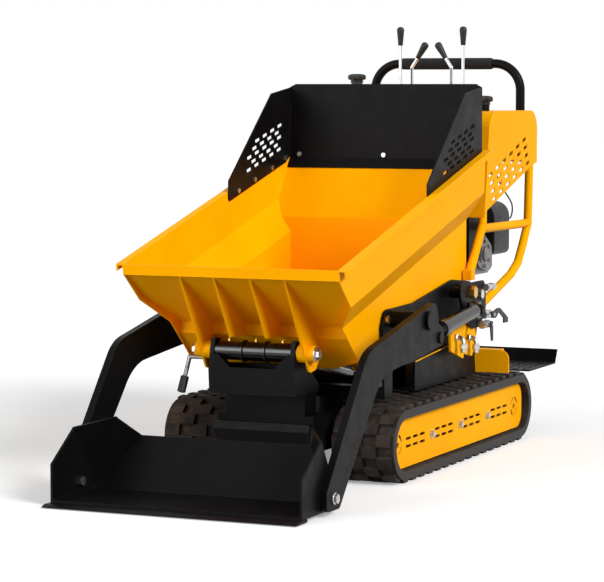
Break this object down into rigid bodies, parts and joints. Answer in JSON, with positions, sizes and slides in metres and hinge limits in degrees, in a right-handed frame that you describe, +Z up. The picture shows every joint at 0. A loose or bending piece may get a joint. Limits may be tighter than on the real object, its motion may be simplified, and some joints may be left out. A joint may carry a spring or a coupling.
{
  "type": "tracked power carrier",
  "caption": "Tracked mini dumper with a hopper-shaped tipping skip, self-loading front shovel on cranked arms, rubber crawler tracks, operator console and rear step.",
  "frame": {"origin": "middle of the machine's footprint on the ground", "axes": "front of the machine is -Y, +Z up, +X to the right seen from the front"},
  "size_m": [0.762, 2.135, 1.246],
  "materials": {
    "yellow_paint": "satin yellow powder coat",
    "black_paint": "satin black powder coat",
    "track_rubber": "dusty black rubber",
    "zinc_steel": "zinc plated",
    "chrome": "polished",
    "brass": "yellow zinc and brass",
    "cast_metal": "cast grey",
    "black_plastic": "moulded black",
    "foam_grip": "foam sleeve",
    "cable_sheath": "black sheath"
  },
  "bodies": {
    "chassis": {"console_shell": "yellow_paint", "tube_frame": "yellow_paint", "body_panels": "yellow_paint", "track_cover_left": "yellow_paint", "track_cover_right": "yellow_paint", "chassis_frame": "black_paint", "front_tower": "black_paint", "hinge_tube": "black_paint", "subframe": "black_paint", "handlebar": "black_paint", "hydraulic_tank": "black_paint", "track_left": "track_rubber", "track_right": "track_rubber", "cover_bolts": "zinc_steel", "valve_bodies": "zinc_steel", "muffler": "zinc_steel", "brass_fittings": "brass", "engine_block": "cast_metal", "hydraulic_pump": "cast_metal", "control_valve": "cast_metal", "drive_motors": "cast_metal", "engine_cowl": "black_plastic", "fuel_tank": "black_plastic", "handle_grip": "foam_grip", "throttle_cable": "cable_sheath"},
    "skip": {"skip_tub": "yellow_paint", "skip_ribs": "yellow_paint", "skip_extension": "black_paint", "extension_bolts": "zinc_steel", "hinge_pin": "zinc_steel"},
    "lock": {"lock_pin": "chrome"},
    "loader": {"shovel_pan": "black_paint", "cutting_edge": "black_paint", "loader_arm_left": "black_paint", "loader_arm_right": "black_paint", "shovel_bolts": "zinc_steel"},
    "loader_barrel_left": {"loader_barrel_left": "black_paint"},
    "loader_barrel_right": {"loader_barrel_right": "black_paint"},
    "loader_rod_left": {"loader_rod_left": "chrome"},
    "loader_rod_right": {"loader_rod_right": "chrome"},
    "tip_barrel": {"tip_barrel": "black_paint"},
    "tip_rod": {"tip_rod": "chrome"},
    "sprocket_left": {"sprocket_left": "cast_metal"},
    "sprocket_right": {"sprocket_right": "cast_metal"},
    "idler_left": {"idler_left": "cast_metal"},
    "idler_right": {"idler_right": "cast_metal"},
    "front_roller_left": {"front_roller_left": "cast_metal"},
    "front_roller_right": {"front_roller_right": "cast_metal"},
    "rear_roller_left": {"rear_roller_left": "cast_metal"},
    "rear_roller_right": {"rear_roller_right": "cast_metal"},
    "lever_outer_left": {"lever_outer_left": "chrome"},
    "lever_inner_left": {"lever_inner_left": "chrome"},
    "lever_inner_right": {"lever_inner_right": "chrome"},
    "lever_outer_right": {"lever_outer_right": "chrome"},
    "valve_handle_upper": {"valve_handle_upper": "black_plastic"},
    "valve_handle_lower": {"valve_handle_lower": "black_plastic"},
    "rear_step": {"rear_step": "black_paint"},
    "tank_cap": {"tank_cap": "black_plastic"},
    "fuel_cap": {"fuel_cap": "black_plastic"}
  },
  "joints": [
    {"name": "skip_tip", "type": "hinge", "parent": "chassis", "child": "skip", "pos_m": [0, -0.5345, 0.364], "axis": [-1, 0, 0], "range_deg": [-55, 0]},
    {"name": "lock_slide", "type": "slide", "parent": "skip", "child": "lock", "axis": [1, 0, 0], "range_m": [0, 0.024]},
    {"name": "loader_lift", "type": "hinge", "parent": "chassis", "child": "loader", "pos_m": [0, -0.2295, 0.434], "axis": [-1, 0, 0], "range_deg": [0, 112]},
    {"name": "loader_barrel_left_swing", "type": "hinge", "parent": "chassis", "child": "loader_barrel_left", "pos_m": [0, 0.2505, 0.424], "axis": [-1, 0, 0], "range_deg": [0, 1.2]},
    {"name": "loader_rod_left_slide", "type": "slide", "parent": "loader_barrel_left", "child": "loader_rod_left", "axis": [0, -0.9937, -0.1121], "range_m": [0, 0.176]},
    {"name": "loader_barrel_right_swing", "type": "hinge", "parent": "chassis", "child": "loader_barrel_right", "pos_m": [0, 0.2505, 0.424], "axis": [-1, 0, 0], "range_deg": [0, 1.2]},
    {"name": "loader_rod_right_slide", "type": "slide", "parent": "loader_barrel_right", "child": "loader_rod_right", "axis": [0, -0.9937, -0.1121], "range_m": [0, 0.176]},
    {"name": "tip_barrel_swing", "type": "hinge", "parent": "chassis", "child": "tip_barrel", "pos_m": [0, 0.1005, 0.225], "axis": [-1, 0, 0], "range_deg": [0, 26]},
    {"name": "tip_rod_slide", "type": "slide", "parent": "tip_barrel", "child": "tip_rod", "axis": [0, -0.9821, 0.1885], "range_m": [0, 0.158]},
    {"name": "sprocket_left_spin", "type": "hinge", "parent": "chassis", "child": "sprocket_left", "pos_m": [0, 0.6305, 0.104], "axis": [1, 0, 0], "continuous": true},
    {"name": "idler_left_spin", "type": "hinge", "parent": "chassis", "child": "idler_left", "pos_m": [0, -0.3095, 0.104], "axis": [1, 0, 0], "continuous": true},
    {"name": "front_roller_left_spin", "type": "hinge", "parent": "chassis", "child": "front_roller_left", "pos_m": [0, 0.0005, 0.0665], "axis": [1, 0, 0], "continuous": true},
    {"name": "rear_roller_left_spin", "type": "hinge", "parent": "chassis", "child": "rear_roller_left", "pos_m": [0, 0.3205, 0.0665], "axis": [1, 0, 0], "continuous": true},
    {"name": "sprocket_right_spin", "type": "hinge", "parent": "chassis", "child": "sprocket_right", "pos_m": [0, 0.6305, 0.104], "axis": [1, 0, 0], "continuous": true},
    {"name": "idler_right_spin", "type": "hinge", "parent": "chassis", "child": "idler_right", "pos_m": [0, -0.3095, 0.104], "axis": [1, 0, 0], "continuous": true},
    {"name": "front_roller_right_spin", "type": "hinge", "parent": "chassis", "child": "front_roller_right", "pos_m": [0, 0.0005, 0.0665], "axis": [1, 0, 0], "continuous": true},
    {"name": "rear_roller_right_spin", "type": "hinge", "parent": "chassis", "child": "rear_roller_right", "pos_m": [0, 0.3205, 0.0665], "axis": [1, 0, 0], "continuous": true},
    {"name": "lever_outer_left_tilt", "type": "hinge", "parent": "chassis", "child": "lever_outer_left", "pos_m": [0, 0.7515, 0.94], "axis": [1, 0, 0], "range_deg": [-12, 12], "stiffness_Nm_per_rad": 5},
    {"name": "lever_inner_left_tilt", "type": "hinge", "parent": "chassis", "child": "lever_inner_left", "pos_m": [0, 0.7515, 0.94], "axis": [1, 0, 0], "range_deg": [-12, 12], "stiffness_Nm_per_rad": 5},
    {"name": "lever_inner_right_tilt", "type": "hinge", "parent": "chassis", "child": "lever_inner_right", "pos_m": [0, 0.7515, 0.94], "axis": [1, 0, 0], "range_deg": [-12, 12], "stiffness_Nm_per_rad": 5},
    {"name": "lever_outer_right_tilt", "type": "hinge", "parent": "chassis", "child": "lever_outer_right", "pos_m": [0, 0.7515, 0.94], "axis": [1, 0, 0], "range_deg": [-12, 12], "stiffness_Nm_per_rad": 5},
    {"name": "valve_upper_turn", "type": "hinge", "parent": "chassis", "child": "valve_handle_upper", "pos_m": [0.342, 0.3665, 0.402], "axis": [1, 0, 0], "range_deg": [0, 90]},
    {"name": "valve_lower_turn", "type": "hinge", "parent": "chassis", "child": "valve_handle_lower", "pos_m": [0.342, 0.3505, 0.374], "axis": [1, 0, 0], "range_deg": [0, 90]},
    {"name": "step_fold", "type": "hinge", "parent": "chassis", "child": "rear_step", "pos_m": [0, 0.7675, 0.187], "axis": [1, 0, 0], "range_deg": [0, 80]},
    {"name": "tank_cap_turn", "type": "hinge", "parent": "chassis", "child": "tank_cap", "pos_m": [0.215, 0.6305, 1.02], "axis": [0, 0, 1], "range_deg": [0, 90]},
    {"name": "fuel_cap_turn", "type": "hinge", "parent": "chassis", "child": "fuel_cap", "pos_m": [-0.2, 0.6345, 1.085], "axis": [0, 0, 1], "range_deg": [0, 90]}
  ],
  "couplings": [
    {"joint": "loader_barrel_left_swing", "follows": "loader_lift", "ratio": 0.009326},
    {"joint": "loader_rod_left_slide", "follows": "loader_lift", "m_per_rad": 0.088918},
    {"joint": "loader_barrel_right_swing", "follows": "loader_lift", "ratio": 0.009326},
    {"joint": "loader_rod_right_slide", "follows": "loader_lift", "m_per_rad": 0.088918},
    {"joint": "tip_barrel_swing", "follows": "skip_tip", "ratio": -0.46753},
    {"joint": "tip_rod_slide", "follows": "skip_tip", "m_per_rad": -0.16182},
    {"joint": "idler_left_spin", "follows": "sprocket_left_spin", "ratio": 1},
    {"joint": "front_roller_left_spin", "follows": "sprocket_left_spin", "ratio": 2.1029},
    {"joint": "rear_roller_left_spin", "follows": "sprocket_left_spin", "ratio": 2.1029},
    {"joint": "idler_right_spin", "follows": "sprocket_right_spin", "ratio": 1},
    {"joint": "front_roller_right_spin", "follows": "sprocket_right_spin", "ratio": 2.1029},
    {"joint": "rear_roller_right_spin", "follows": "sprocket_right_spin", "ratio": 2.1029}
  ]
}
